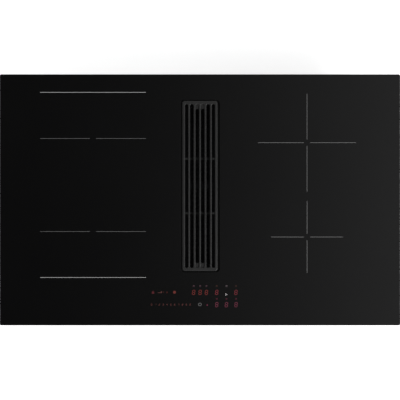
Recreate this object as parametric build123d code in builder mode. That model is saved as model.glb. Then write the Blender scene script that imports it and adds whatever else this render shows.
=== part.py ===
from build123d import *
from math import cos, radians, sin
import os

# Downdraft induction cooktop: a black glass top with four induction zones, and an extractor in its middle.
# X runs to the cook's right, Y to the wall behind, Z up. The origin is on the worktop's surface, under the
# middle of the glass. All sizes are in millimetres.

# Worktop opening, glass and worktop seal
worktop_opening_length = 803.0
worktop_opening_width = 493.0
glass_length = 830.0
glass_width = 520.0
glass_thickness = 4.0
glass_corner = 4.0
glass_bevel = 0.8
seal_thickness = 1.5
seal_width = 10.0
seal_inset = 2.0

# Steel tray under the glass, and the aluminium frame that joins them
tray_clearance = 3.5
tray_height = 60.0
tray_sheet = 1.0
tray_corner = 6.0
tray_opening_corner = 1.0
tray_rim_gap = 0.5
frame_width = 12.0
frame_height = 8.0
frame_corner = 7.0
tray_screws_x = [-300.0, -100.0, 100.0, 300.0]
tray_screws_y = [-190.0, 190.0]

# Extractor slot in the glass and the grille in it
shaft_y = 28.7
glass_slot_width = 82.0
glass_slot_length = 357.0
glass_slot_corner = 7.0
grille_width = 73.0
grille_length = 352.8
grille_height = 14.0
grille_proud = 0.5
grille_bars = 7
grille_corner = 5.0
grille_side_rail = 5.5
grille_end_rail = 7.0
grille_slat = 3.8
grille_slot_corner = 3.0
grille_finger_block = 16.6
grille_rib = 3.5
grille_rib_spacing = 113.0
grille_outer_rib_drop = 2.5
grille_inner_rib_drop = 10.0
grille_block_drop = 3.0
grille_edge_round = 1.2
grille_outer_round = 2.0

# Stepped shaft liner, hung under the glass
liner_seal_thickness = 0.8
liner_flange = 8.0
liner_wall = 2.5
liner_skirt = 12.0
liner_corner = 6.0
grille_gap = 1.0
grille_ledge = 4.5
filter_drop = 20.0
filter_ledge = 4.0
liner_floor_gap = 1.0

# Grease filter
filter_gap = 0.75
filter_rim_thickness = 2.0
filter_body_gap = 1.0
filter_height = 75.0
filter_frame_wall = 2.0
filter_post = 6.0
filter_floor_lip = 3.0
basket_sheet = 1.0
basket_gap = 0.2
basket_slot_width = 4.0
basket_slot_length = 14.0
basket_slot_pitch_along = 10.0
basket_slot_pitch_up = 20.0
handle_height = 12.0
handle_bar = 3.0
handle_width = 14.0
handle_foot = 4.0

# Drip container on the floor of the air housing
container_gap = 1.5
container_height = 80.0
container_wall = 1.5
container_corner = 2.5
container_locator_gap = 0.5
container_locator_height = 12.0
container_locator_length = 30.0
container_locator_thickness = 2.0
container_locator_spacing = 160.0

# Air housing under the tray
housing_height = 150.0
housing_wall = 2.5
housing_corner = 4.0
housing_end_margin = 17.0
housing_flange = 12.0
well_chamber_width = 90.0
duct_width = 222.0
duct_height = 89.0
duct_wall = 2.0
duct_length = 24.0
duct_flange_side = 3.5
duct_flange_edge = 1.75
duct_flange_thickness = 2.5
duct_side_margin = 6.5
scroll_height = 92.0
scroll_floor = 1.5
scroll_wall = 2.5
scroll_gap = 34.0
scroll_growth = 8.0
scroll_front_margin = 10.0
tongue_angle = 20.0
cover_thickness = 2.5
cover_gap = 0.5
cover_boss_radius = 5.0
cover_boss_inset = 8.0
inlet_radius = 60.0
inlet_wall = 2.5

# Fan
impeller_radius = 78.0
impeller_height = 70.0
impeller_lift = 10.0
impeller_plate = 2.0
impeller_ring = 10.0
impeller_blades = 32
impeller_blade_thickness = 1.2
impeller_blade_angle = 35.0
inlet_gap = 1.0
motor_radius = 38.0
motor_height = 40.0
motor_flange_radius = 50.0
motor_flange_thickness = 2.0
motor_screw_circle = 44.0
motor_screw_angles = [90.0, 210.0, 330.0]
motor_screw_bite = 1.0
motor_pad_radius = 5.0
motor_pad_height = 4.0
motor_pocket_gap = 2.0
hub_gap = 3.0
hub_wall = 2.0
boss_radius = 9.0
boss_height = 10.0
shaft_radius = 4.0
shaft_clearance = 0.05
shaft_end = 1.0
nut_radius = 8.0
nut_height = 5.0

# Induction zones: the marks on the glass and the coils under them
left_zone_x = -222.0
left_zone_length = 220.0
left_zone_width = 192.0
left_zone_corner = 55.0
left_zone_y = 31.0
right_zone_x = 222.0
rear_zone_y = 118.7
rear_zone_diameter = 204.0
front_zone_y = -77.1
front_zone_diameter = 150.0
coil_inset = 5.0
coil_eye = 24.0
mica_thickness = 1.0
winding_thickness = 5.0
carrier_thickness = 5.0
ferrite_thickness = 3.0
ferrite_width = 12.0
ferrite_length = 34.0
ferrite_start = 27.0
ferrite_gap = 0.2
ferrites_per_coil = 8
sensor_radius = 5.0
plate_thickness = 1.5
plate_inner_edge = 110.0
plate_side_gap = 3.0
plate_corner = 8.0
post_radius = 4.0
post_inset = 20.0

# Power electronics on the tray's floor
board_length = 180.0
board_width = 190.0
board_thickness = 1.6
board_lift = 6.0
board_corner = 2.0
board_x = 205.0
board_y = 30.0
spacer_radius = 3.5
spacer_inset = 8.0
heat_sink_length = 150.0
heat_sink_width = 48.0
heat_sink_height = 30.0
heat_sink_base = 5.0
heat_sink_fins = 8
heat_sink_fin = 2.0
heat_sink_offset = -45.0
capacitor_radius = 14.0
capacitor_height = 30.0
capacitor_spacing = 36.0
choke_radius = 17.0
choke_height = 24.0
choke_offset = 54.0
relay_size = 20.0
relay_height = 16.0
relay_spacing = 27.0
component_row_offset = 58.0
relay_row_offset = 16.0

# Cooling fans over the vents in the tray's floor
cooler_x = 345.0
cooler_y = -150.0
cooler_size = 80.0
cooler_corner = 4.0
cooler_height = 25.0
cooler_bore = 37.5
cooler_arms = 3
cooler_arm = 5.0
cooler_arm_height = 3.0
cooler_boss_radius = 14.0
cooler_boss_height = 4.0
cooler_pin_radius = 2.0
cooler_rotor_radius = 35.0
cooler_hub_radius = 15.0
cooler_rotor_height = 16.0
cooler_rotor_gap = 1.5
cooler_blades = 7
cooler_blade = 2.0
cooler_blade_root = 13.5
cooler_blade_pitch = 40.0
vent_slot_width = 5.0
vent_slot_length = 52.0
vent_slot_pitch = 10.0
vent_slots = 5
wall_vent_width = 4.0
wall_vent_height = 24.0
wall_vent_pitch = 10.0
wall_vents = 14
wall_vent_x = 250.0

# Touch control under the front of the glass
panel_x = -12.0
panel_y = -200.0
panel_length = 192.0
panel_width = 54.0
panel_corner = 2.0
touch_board_thickness = 1.6
mask_height = 8.0
bracket_sheet = 2.0
bracket_foot = 12.0
digit_window_width = 9.0
digit_window_height = 13.0
digits_rear_y = -192.0
digits_front_y = -217.5
digits_rear_x = [-13.2, 0.2, 13.3, 34.7, 54.2, 74.6]
digits_front_x = [34.7, 54.8, 74.8]
touch_key_radius = 3.5
touch_spring_gap = 1.0
slider_keys = 11
slider_pitch = 8.0
slider_first_x = -100.4
lock_keys_x = [-97.5, -82.9, -68.0, -52.7]
power_keys_x = [-0.2, 15.0]

# Mains connection under the tray's rear left corner
terminal_x = -280.0
terminal_y = 190.0
terminal_length = 100.0
terminal_width = 76.0
terminal_height = 40.0
terminal_wall = 2.0
terminal_block_length = 66.0
terminal_block_width = 22.0
terminal_block_height = 18.0
terminal_ways = 6
terminal_well_radius = 3.2
terminal_block_y_offset = 14.0
terminal_corner = 4.0
terminal_boss_radius = 5.0
terminal_boss_inset = 8.0
gland_bore = 7.0
gland_radius = 10.0
gland_nut_radius = 14.0
gland_nut_length = 10.0
gland_inner_length = 5.0
gland_y_offset = -14.0
grommet_bore = 6.0
grommet_radius = 9.0
grommet_lip = 2.0
grommet_y_offset = -18.0

# Wiring loom on the tray's floor
loom_radius = 3.0
loom_bend = 7.0
loom_rise = 15.0
loom_inset = 7.0
loom_front_gap = 4.0

# Hold-down brackets on the tray's sides
bracket_y = 150.0
hold_down_width = 40.0
hold_down_top = -8.0
hold_down_height = 36.0
hold_down_sheet = 1.5
hold_down_reach = 15.0
hold_down_hole_offset = 9.0
hold_down_hole = 2.1
hold_down_screw_spacing = 22.0
hold_down_screw_z = -20.0

# Screws
screw_radius = 1.5
screw_head_radius = 3.0
screw_head_height = 1.6
screw_clearance = 0.1
screw_socket = 1.2
screw_socket_depth = 0.9
tray_screw_length = 6.0
flange_screw_length = 6.5
machine_screw_length = 8.0

# Levels and outlines that follow from the sizes above
glass_bottom = seal_thickness
glass_top = glass_bottom + glass_thickness
tray_length = worktop_opening_length - 2 * tray_clearance
tray_width = worktop_opening_width - 2 * tray_clearance
tray_bottom = -tray_height
tray_floor = tray_bottom + tray_sheet
tray_inner_length = tray_length - 2 * tray_sheet
tray_inner_width = tray_width - 2 * tray_sheet
screw_hole = screw_radius + screw_clearance

grille_gaps = grille_bars - 1
grille_pitch = (grille_width - grille_side_rail) / grille_gaps
grille_top = glass_top + grille_proud
grille_seat = grille_top - grille_height

liner_top = glass_bottom - liner_seal_thickness
pocket_width = grille_width + 2 * grille_gap
pocket_length = grille_length + 2 * grille_gap
throat_width = pocket_width - 2 * grille_ledge
throat_length = pocket_length - 2 * grille_ledge
filter_seat = grille_seat - filter_drop
skirt_width = throat_width - 2 * filter_ledge
skirt_length = throat_length - 2 * filter_ledge
skirt_bottom = tray_bottom - liner_skirt

filter_width = skirt_width - 2 * filter_body_gap
filter_length = skirt_length - 2 * filter_body_gap
filter_bottom = filter_seat - filter_height
filter_top = filter_seat + filter_rim_thickness
container_width = skirt_width - 2 * container_gap
container_length = skirt_length - 2 * container_gap

housing_bottom = tray_bottom - housing_height
housing_floor = housing_bottom + housing_wall
housing_inner_length = skirt_length + 2 * (liner_wall + housing_end_margin)
housing_front = shaft_y - housing_inner_length / 2
housing_rear = shaft_y + housing_inner_length / 2
housing_back = housing_rear + housing_wall
partition_left = well_chamber_width / 2
fan_chamber_left = partition_left + housing_wall
fan_chamber_width = duct_width + 2 * duct_side_margin
fan_chamber_right = fan_chamber_left + fan_chamber_width
housing_left = -partition_left - housing_wall
housing_right = fan_chamber_right + housing_wall
housing_x = (housing_left + housing_right) / 2
housing_length = housing_right - housing_left
duct_x = (fan_chamber_left + fan_chamber_right) / 2
duct_z = housing_floor + scroll_height / 2
duct_inner_width = duct_width - 2 * duct_wall
duct_inner_height = duct_height - 2 * duct_wall

scroll_top = housing_floor + scroll_height
scroll_radius = impeller_radius + scroll_gap
fan_x = duct_x + duct_inner_width / 2 - scroll_radius
fan_y = housing_front + scroll_front_margin + scroll_wall + scroll_radius
impeller_bottom = housing_floor + impeller_lift
impeller_top = impeller_bottom + impeller_height
motor_bottom = housing_floor + motor_pad_height
motor_body_bottom = motor_bottom + motor_flange_thickness
motor_top = motor_body_bottom + motor_height
hub_ceiling = motor_top + hub_gap
hub_top = hub_ceiling + hub_wall
boss_top = hub_top + boss_height
nut_top = boss_top + nut_height

winding_top = glass_bottom - mica_thickness
carrier_top = winding_top - winding_thickness
plate_top = carrier_top - carrier_thickness
plate_bottom = plate_top - plate_thickness
plate_outer_edge = tray_inner_length / 2 - plate_side_gap
plate_length = plate_outer_edge - plate_inner_edge
plate_width = tray_inner_width - 2 * plate_side_gap
plate_x = (plate_outer_edge + plate_inner_edge) / 2

board_bottom = tray_floor + board_lift
board_top = board_bottom + board_thickness
mask_bottom = glass_bottom - mask_height
touch_board_bottom = mask_bottom - touch_board_thickness
terminal_bottom = tray_bottom - terminal_height
terminal_left = terminal_x - terminal_length / 2


def slab(x, y, length, width, corner, low, high, mode=Mode.ADD):
    """Adds to the part being built, or cuts from it, an upright block with rounded corners."""
    with BuildSketch(Plane.XY.offset(low)) as outline:
        with Locations((x, y)):
            if corner:
                RectangleRounded(length, width, corner)
            else:
                Rectangle(length, width)
    extrude(outline.sketch, amount=high - low, mode=mode)


def post(x, y, radius, low, high, mode=Mode.ADD):
    """Adds to the part being built, or cuts from it, an upright cylinder."""
    with BuildSketch(Plane.XY.offset(low)) as outline:
        with Locations((x, y)):
            Circle(radius)
    extrude(outline.sketch, amount=high - low, mode=mode)


def corners(x, y, length, width):
    """The four corner points of a rectangle."""
    return [(x + i * length / 2, y + j * width / 2) for i in (-1, 1) for j in (-1, 1)]


def seats(points, outward):
    """One plane on each point, all facing outward."""
    return [Plane(origin=point, z_dir=outward) for point in points]


def screws(planes, length):
    """One socket screw on each plane: its head stands out, and its shank goes in by length."""
    with BuildPart() as group:
        for plane in planes:
            with BuildSketch(plane):
                Circle(screw_head_radius)
            extrude(amount=screw_head_height)
            with BuildSketch(plane):
                Circle(screw_radius)
            extrude(amount=-length)
            with BuildSketch(plane.offset(screw_head_height)):
                RegularPolygon(screw_socket, 6)
            extrude(amount=-screw_socket_depth, mode=Mode.SUBTRACT)
    return group


os.makedirs("parts", exist_ok=True)


def save(piece, name):
    """Labels a finished piece and writes its file."""
    piece.part.label = name
    export_step(piece.part, f"parts/{name}.step")


# Places of the screws, used by the holes and by the screws themselves
frame_screw_z = glass_bottom - frame_height / 2
tray_screw_seats = (
    seats([(x, -tray_width / 2, frame_screw_z) for x in tray_screws_x], (0, -1, 0))
    + seats([(x, tray_width / 2, frame_screw_z) for x in tray_screws_x], (0, 1, 0))
    + seats([(-tray_length / 2, y, frame_screw_z) for y in tray_screws_y], (-1, 0, 0))
    + seats([(tray_length / 2, y, frame_screw_z) for y in tray_screws_y], (1, 0, 0))
)

flange_front = housing_front - housing_wall - housing_flange / 2
flange_rear = housing_back + housing_flange / 2
flange_left = housing_left - housing_flange / 2
flange_right = housing_right + housing_flange / 2
flange_points = (
    corners(housing_x, shaft_y, flange_right - flange_left, flange_rear - flange_front)
    + [(housing_x, flange_front), (housing_x, flange_rear)]
    + [(flange_left, shaft_y), (flange_right, shaft_y)]
)
flange_low = tray_bottom - housing_wall
flange_screw_seats = seats([(x, y, flange_low) for x, y in flange_points], (0, 0, -1))

cover_boss_points = [
    (fan_chamber_left + cover_boss_inset, housing_front + cover_boss_inset),
    (fan_chamber_right - cover_boss_inset, housing_front + cover_boss_inset),
    (fan_chamber_left + cover_boss_inset, fan_y + scroll_radius + cover_boss_inset),
]
cover_top = scroll_top + cover_thickness
cover_screw_seats = seats([(x, y, cover_top) for x, y in cover_boss_points], (0, 0, 1))

motor_screw_points = [
    (fan_x + motor_screw_circle * cos(radians(a)), fan_y + motor_screw_circle * sin(radians(a)))
    for a in motor_screw_angles
]
motor_screw_seats = seats([(x, y, motor_body_bottom) for x, y in motor_screw_points], (0, 0, 1))

plate_posts = {
    side: corners(side * plate_x, 0, plate_length - 2 * post_inset, plate_width - 2 * post_inset)
    for side in (-1, 1)
}
plate_screw_points = plate_posts[-1] + plate_posts[1]
plate_screw_seats = seats([(x, y, plate_top) for x, y in plate_screw_points], (0, 0, 1))

# Two screws in opposite corners of the terminal cover
terminal_span_x = terminal_length - 2 * terminal_boss_inset
terminal_span_y = terminal_width - 2 * terminal_boss_inset
terminal_screw_points = corners(terminal_x, terminal_y, terminal_span_x, terminal_span_y)[::3]
terminal_screw_z = terminal_bottom - terminal_wall
terminal_screw_seats = seats([(x, y, terminal_screw_z) for x, y in terminal_screw_points], (0, 0, -1))

hold_down_screw_seats = []
for side in (-1, 1):
    face_x = side * (tray_length / 2 + hold_down_sheet)
    for end in (-1, 1):
        for step in (-1, 1):
            screw_y = end * bracket_y + step * hold_down_screw_spacing / 2
            hold_down_screw_seats += seats([(face_x, screw_y, hold_down_screw_z)], (side, 0, 0))


# Glass top: ground edges, and a rounded slot for the extractor
with BuildPart() as glass_plate:
    with BuildSketch(Plane.XY.offset(glass_bottom)):
        RectangleRounded(glass_length, glass_width, glass_corner)
        with Locations((0, shaft_y)):
            RectangleRounded(glass_slot_width, glass_slot_length, glass_slot_corner, mode=Mode.SUBTRACT)
    extrude(amount=glass_thickness)
    chamfer(glass_plate.faces().sort_by(Axis.Z)[-1].outer_wire().edges(), glass_bevel)
save(glass_plate, "glass_plate")

# Foam seal between the glass and the worktop
with BuildPart() as worktop_seal:
    seal_length = glass_length - 2 * seal_inset
    seal_breadth = glass_width - 2 * seal_inset
    slab(0, 0, seal_length, seal_breadth, glass_corner, 0, seal_thickness)
    slab(0, 0, seal_length - 2 * seal_width, seal_breadth - 2 * seal_width, glass_corner,
         0, seal_thickness, Mode.SUBTRACT)
save(worktop_seal, "worktop_seal")

# Aluminium frame bonded under the glass: the tray's walls screw to it
with BuildPart() as glass_frame:
    frame_low = glass_bottom - frame_height
    slab(0, 0, tray_inner_length, tray_inner_width, frame_corner, frame_low, glass_bottom)
    slab(0, 0, tray_inner_length - 2 * frame_width, tray_inner_width - 2 * frame_width, frame_corner / 2,
         frame_low, glass_bottom, Mode.SUBTRACT)
    with Locations(*tray_screw_seats):
        Hole(screw_hole, tray_screw_length + screw_clearance)
save(glass_frame, "glass_frame")

# Steel tray: open at the top, with the shaft's opening, vents and screw holes
with BuildPart() as base_tray:
    slab(0, 0, tray_length, tray_width, tray_corner, tray_bottom, glass_bottom - tray_rim_gap)
    slab(0, 0, tray_inner_length, tray_inner_width, tray_corner - tray_sheet, tray_floor, glass_bottom,
         Mode.SUBTRACT)
    opening_margin = 2 * (liner_wall + liner_floor_gap)
    slab(0, shaft_y, skirt_width + opening_margin, skirt_length + opening_margin, tray_opening_corner,
         tray_bottom, tray_floor, Mode.SUBTRACT)
    with BuildSketch(Plane.XY.offset(tray_bottom)):
        for side in (-1, 1):
            with Locations((side * cooler_x, cooler_y)):
                with GridLocations(0, vent_slot_pitch, 1, vent_slots):
                    SlotOverall(vent_slot_length, vent_slot_width)
        with Locations(*flange_points):
            Circle(screw_hole)
        with Locations((terminal_x, terminal_y + grommet_y_offset)):
            Circle(grommet_radius)
    extrude(amount=tray_sheet, mode=Mode.SUBTRACT)
    with BuildSketch(Plane.XZ):
        for side in (-1, 1):
            with Locations((side * wall_vent_x, (tray_bottom + frame_low) / 2)):
                with GridLocations(wall_vent_pitch, 0, wall_vents, 1):
                    SlotOverall(wall_vent_height, wall_vent_width, rotation=90)
    extrude(amount=tray_width, both=True, mode=Mode.SUBTRACT)
    with Locations(*tray_screw_seats, *hold_down_screw_seats):
        Hole(screw_hole, tray_sheet + hold_down_sheet + screw_clearance)
save(base_tray, "base_tray")

save(screws(tray_screw_seats, tray_screw_length), "tray_screws")

# Hold-down brackets: folded steel angles, screwed to the tray's sides under the worktop
with BuildPart() as hold_down_brackets:
    for side in (-1, 1):
        face_x = side * tray_length / 2
        for end in (-1, 1):
            slab(face_x + side * hold_down_sheet / 2, end * bracket_y, hold_down_sheet, hold_down_width, 0,
                 hold_down_top - hold_down_height, hold_down_top)
            slab(face_x + side * hold_down_reach / 2, end * bracket_y, hold_down_reach, hold_down_width, 0,
                 hold_down_top - hold_down_height - hold_down_sheet, hold_down_top - hold_down_height)
            post(face_x + side * hold_down_hole_offset, end * bracket_y, hold_down_hole,
                 hold_down_top - hold_down_height - hold_down_sheet, hold_down_top - hold_down_height,
                 Mode.SUBTRACT)
    with Locations(*hold_down_screw_seats):
        Hole(screw_hole, hold_down_sheet)
save(hold_down_brackets, "hold_down_brackets")

save(screws(hold_down_screw_seats, hold_down_sheet + tray_sheet + 2 * screw_radius), "hold_down_screws")

# Foam seal between the glass and the liner's flange
liner_flange_width = pocket_width + 2 * (liner_wall + liner_flange)
liner_flange_length = pocket_length + 2 * (liner_wall + liner_flange)
with BuildPart() as liner_seal:
    slab(0, shaft_y, liner_flange_width, liner_flange_length, liner_corner, liner_top, glass_bottom)
    slab(0, shaft_y, glass_slot_width, glass_slot_length, glass_slot_corner, liner_top, glass_bottom,
         Mode.SUBTRACT)
save(liner_seal, "liner_seal")

# Shaft liner: a flange under the glass, a pocket for the grille, a throat for the filter's rim and a skirt
with BuildPart() as shaft_liner:
    slab(0, shaft_y, liner_flange_width, liner_flange_length, liner_corner,
         liner_top - liner_wall, liner_top)
    slab(0, shaft_y, pocket_width + 2 * liner_wall, pocket_length + 2 * liner_wall, liner_corner,
         grille_seat - liner_wall, liner_top)
    slab(0, shaft_y, throat_width + 2 * liner_wall, throat_length + 2 * liner_wall, liner_corner,
         filter_seat - liner_wall, grille_seat)
    slab(0, shaft_y, skirt_width + 2 * liner_wall, skirt_length + 2 * liner_wall, liner_corner,
         skirt_bottom, filter_seat)
    slab(0, shaft_y, pocket_width, pocket_length, liner_corner, grille_seat, liner_top, Mode.SUBTRACT)
    slab(0, shaft_y, throat_width, throat_length, liner_corner / 2, filter_seat, grille_seat, Mode.SUBTRACT)
    slab(0, shaft_y, skirt_width, skirt_length, liner_corner / 2, skirt_bottom, filter_seat, Mode.SUBTRACT)
save(shaft_liner, "shaft_liner")

# Grille: seven lengthwise bars, low ribs across them, and two sunk finger blocks at each end
bar_widths = [grille_side_rail] + [grille_slat] * (grille_bars - 2) + [grille_side_rail]
bar_centres = [(index - grille_gaps / 2) * grille_pitch for index in range(grille_bars)]
middle_gaps = (grille_gaps // 2 - 1, grille_gaps // 2)
with BuildPart() as grille:
    slab(0, shaft_y, grille_width, grille_length, grille_corner, grille_seat, grille_top)
    for gap in range(grille_gaps):
        left = bar_centres[gap] + bar_widths[gap] / 2
        right = bar_centres[gap + 1] - bar_widths[gap + 1] / 2
        end = grille_finger_block if gap in middle_gaps else grille_end_rail
        slab((left + right) / 2, shaft_y, right - left, grille_length - 2 * end, grille_slot_corner,
             grille_seat, grille_top, Mode.SUBTRACT)
        slab((left + right) / 2, shaft_y, right - left, grille_length - 2 * grille_end_rail, grille_slot_corner,
             grille_top - grille_block_drop, grille_top, Mode.SUBTRACT)
    top_face = grille.faces().sort_by(Axis.Z)[-1]
    slot_edges = ShapeList(edge for wire in top_face.inner_wires() for edge in wire.edges())
    fillet(slot_edges, grille_edge_round)
    fillet(grille.faces().sort_by(Axis.Z)[-1].outer_wire().edges(), grille_outer_round)
    for gap in range(grille_gaps):
        drop = grille_outer_rib_drop if gap in (0, grille_gaps - 1) else grille_inner_rib_drop
        for side in (-1, 1):
            slab((bar_centres[gap] + bar_centres[gap + 1]) / 2, shaft_y + side * grille_rib_spacing / 2,
                 grille_pitch - grille_edge_round, grille_rib, 0, grille_seat, grille_top - drop)
save(grille, "grille")

# Filter frame: a rim that rests in the liner's throat, corner posts and a lipped floor
with BuildPart() as filter_frame:
    slab(0, shaft_y, throat_width - 2 * filter_gap, throat_length - 2 * filter_gap, liner_corner / 2,
         filter_seat, filter_top)
    slab(0, shaft_y, filter_width, filter_length, 0, filter_bottom, filter_seat)
    pocket_x = filter_width - 2 * filter_frame_wall
    pocket_y = filter_length - 2 * filter_frame_wall
    filter_floor = filter_bottom + filter_frame_wall
    slab(0, shaft_y, pocket_x, pocket_y, 0, filter_floor, filter_top, Mode.SUBTRACT)
    slab(0, shaft_y, pocket_x - 2 * filter_floor_lip, pocket_y - 2 * filter_floor_lip, 0,
         filter_bottom, filter_floor, Mode.SUBTRACT)
    window_low = filter_floor + filter_floor_lip
    slab(0, shaft_y, filter_width, filter_length - 2 * filter_post, 0,
         window_low, filter_seat, Mode.SUBTRACT)
    slab(0, shaft_y, filter_width - 2 * filter_post, filter_length, 0,
         window_low, filter_seat, Mode.SUBTRACT)
save(filter_frame, "filter_frame")

# Filter basket: perforated sheet, open at the top
basket_width = pocket_x - 2 * basket_gap
basket_length = pocket_y - 2 * basket_gap
with BuildPart() as filter_basket:
    slab(0, shaft_y, basket_width, basket_length, 0, filter_floor, filter_top)
    slab(0, shaft_y, basket_width - 2 * basket_sheet, basket_length - 2 * basket_sheet, 0,
         filter_floor + basket_sheet, filter_top, Mode.SUBTRACT)
    slots_along = int((basket_length - 2 * filter_post) // basket_slot_pitch_along)
    slots_up = int((filter_top - window_low) // basket_slot_pitch_up)
    slots_across = int(basket_width // basket_slot_pitch_up)
    with BuildSketch(Plane.YZ):
        with Locations((shaft_y, (window_low + filter_seat) / 2)):
            with GridLocations(basket_slot_pitch_along, basket_slot_pitch_up, slots_along, slots_up):
                Rectangle(basket_slot_width, basket_slot_length)
    extrude(amount=basket_width, both=True, mode=Mode.SUBTRACT)
    with BuildSketch(Plane.XY.offset(filter_floor)):
        with Locations((0, shaft_y)):
            with GridLocations(basket_slot_pitch_up, basket_slot_pitch_along, slots_across, slots_along):
                Rectangle(basket_slot_length, basket_slot_width)
    extrude(amount=basket_sheet, mode=Mode.SUBTRACT)
save(filter_basket, "filter_basket")

# Filter handle: an arch across the rim for two fingers
with BuildPart() as filter_handle:
    handle_span = filter_width + 2 * (handle_foot - filter_frame_wall)
    with BuildSketch(Plane.XZ.offset(-shaft_y)):
        with Locations((0, filter_top + handle_height / 2)):
            Rectangle(handle_span, handle_height)
        with Locations((0, filter_top + (handle_height - handle_bar) / 2)):
            Rectangle(handle_span - 2 * handle_foot, handle_height - handle_bar, mode=Mode.SUBTRACT)
    extrude(amount=handle_width / 2, both=True)
save(filter_handle, "filter_handle")

# Drip container: an open tub that stands on the air housing's floor
with BuildPart() as drip_container:
    container_top = housing_floor + container_height
    slab(0, shaft_y, container_width, container_length, container_corner, housing_floor, container_top)
    slab(0, shaft_y, container_width - 2 * container_wall, container_length - 2 * container_wall,
         container_corner - container_wall, housing_floor + container_wall, container_top, Mode.SUBTRACT)
save(drip_container, "drip_container")

# Air housing: the well chamber and the fan chamber, with a partition that the air passes over
with BuildPart() as air_housing:
    housing_outer_width = housing_inner_length + 2 * housing_wall
    slab(housing_x, shaft_y, housing_length, housing_outer_width, housing_corner,
         housing_bottom, tray_bottom)
    slab(housing_x, shaft_y, housing_length + 2 * housing_flange, housing_outer_width + 2 * housing_flange,
         housing_corner, tray_bottom - housing_wall, tray_bottom)
    inner_corner = housing_corner - housing_wall
    slab(0, shaft_y, well_chamber_width, housing_inner_length, inner_corner, housing_floor, tray_bottom,
         Mode.SUBTRACT)
    slab(duct_x, shaft_y, fan_chamber_width, housing_inner_length, inner_corner, housing_floor, tray_bottom,
         Mode.SUBTRACT)
    slab((fan_chamber_right - partition_left) / 2, shaft_y, fan_chamber_right + partition_left,
         housing_inner_length, inner_corner, scroll_top, tray_bottom, Mode.SUBTRACT)
    with BuildSketch(Plane.XZ.offset(-housing_back)):
        with Locations((duct_x, duct_z)):
            Rectangle(duct_inner_width, duct_inner_height)
    extrude(amount=housing_wall, mode=Mode.SUBTRACT)
    for x, y in cover_boss_points:
        post(x, y, cover_boss_radius, housing_floor, scroll_top)
        post(x, y, screw_hole, scroll_top - machine_screw_length, scroll_top, Mode.SUBTRACT)
    for x, y in motor_screw_points:
        post(x, y, screw_hole, housing_floor - motor_screw_bite - screw_clearance, housing_floor,
             Mode.SUBTRACT)
    for side in (-1, 1):
        locator_x = container_width / 2 + container_locator_gap + container_locator_thickness / 2
        for end in (-1, 1):
            locator_y = shaft_y + end * container_locator_spacing / 2
            slab(side * locator_x, locator_y, container_locator_thickness, container_locator_length, 0,
                 housing_floor, housing_floor + container_locator_height)
        locator_y = shaft_y + side * (container_length + container_locator_thickness) / 2
        slab(0, locator_y + side * container_locator_gap, container_locator_length,
             container_locator_thickness, 0, housing_floor, housing_floor + container_locator_height)
    with Locations(*flange_screw_seats):
        Hole(screw_hole, housing_wall)
save(air_housing, "air_housing")

save(screws(flange_screw_seats, flange_screw_length), "housing_screws")

# Fan scroll: a spiral of four quarter arcs that opens into the outlet, on a thin floor
with BuildSketch(Plane.XY.offset(housing_floor), mode=Mode.PRIVATE) as flow:
    with BuildLine():
        radii = [scroll_radius - step * scroll_growth for step in range(4)]
        run_in = Line((fan_x + radii[0], housing_rear), (fan_x + radii[0], fan_y))
        CenterArc((fan_x, fan_y), radii[0], 0, -90)
        CenterArc((fan_x, fan_y - scroll_growth), radii[1], -90, -90)
        CenterArc((fan_x - scroll_growth, fan_y - scroll_growth), radii[2], 180, -90)
        tongue = CenterArc((fan_x - scroll_growth, fan_y), radii[3], 90, -tongue_angle)
        diffuser = Line(tongue @ 1, (duct_x - duct_inner_width / 2, housing_rear))
        Line(diffuser @ 1, run_in @ 0)
    make_face()
with BuildPart() as fan_scroll:
    with BuildSketch(Plane.XY.offset(housing_floor)):
        add(flow.sketch_local)
        offset(amount=scroll_wall, kind=Kind.INTERSECTION)
        with Locations((duct_x, housing_rear)):
            Rectangle(fan_chamber_width, scroll_wall, align=(Align.CENTER, Align.MIN), mode=Mode.SUBTRACT)
    extrude(amount=scroll_height)
    with BuildSketch(Plane.XY.offset(housing_floor + scroll_floor)):
        add(flow.sketch_local)
    extrude(amount=scroll_height - scroll_floor, mode=Mode.SUBTRACT)
    post(fan_x, fan_y, motor_flange_radius + motor_pocket_gap, housing_floor, housing_floor + scroll_floor,
         Mode.SUBTRACT)
save(fan_scroll, "fan_scroll")

# Scroll cover: the floor of the plenum, with the fan's round inlet
with BuildPart() as scroll_cover:
    slab((partition_left + fan_chamber_right - cover_gap) / 2, shaft_y,
         fan_chamber_right - cover_gap - partition_left, housing_inner_length - 2 * cover_gap, inner_corner,
         scroll_top, cover_top)
    post(fan_x, fan_y, inlet_radius + inlet_wall, impeller_top + inlet_gap, cover_top)
    post(fan_x, fan_y, inlet_radius, impeller_top + inlet_gap, cover_top, Mode.SUBTRACT)
    with Locations(*cover_screw_seats):
        Hole(screw_hole, cover_thickness)
save(scroll_cover, "scroll_cover")

# Outlet spigot for a flat duct, on the housing's back wall
with BuildPart() as outlet_spigot:
    with BuildSketch(Plane.XZ.offset(-housing_back)):
        with Locations((duct_x, duct_z)):
            Rectangle(duct_width + 2 * duct_flange_side, duct_height + 2 * duct_flange_edge)
    extrude(amount=-duct_flange_thickness)
    with BuildSketch(Plane.XZ.offset(-housing_back)):
        with Locations((duct_x, duct_z)):
            Rectangle(duct_width, duct_height)
    extrude(amount=-duct_length)
    with BuildSketch(Plane.XZ.offset(-housing_back)):
        with Locations((duct_x, duct_z)):
            Rectangle(duct_inner_width, duct_inner_height)
    extrude(amount=-duct_length, mode=Mode.SUBTRACT)
save(outlet_spigot, "outlet_spigot")

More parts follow.
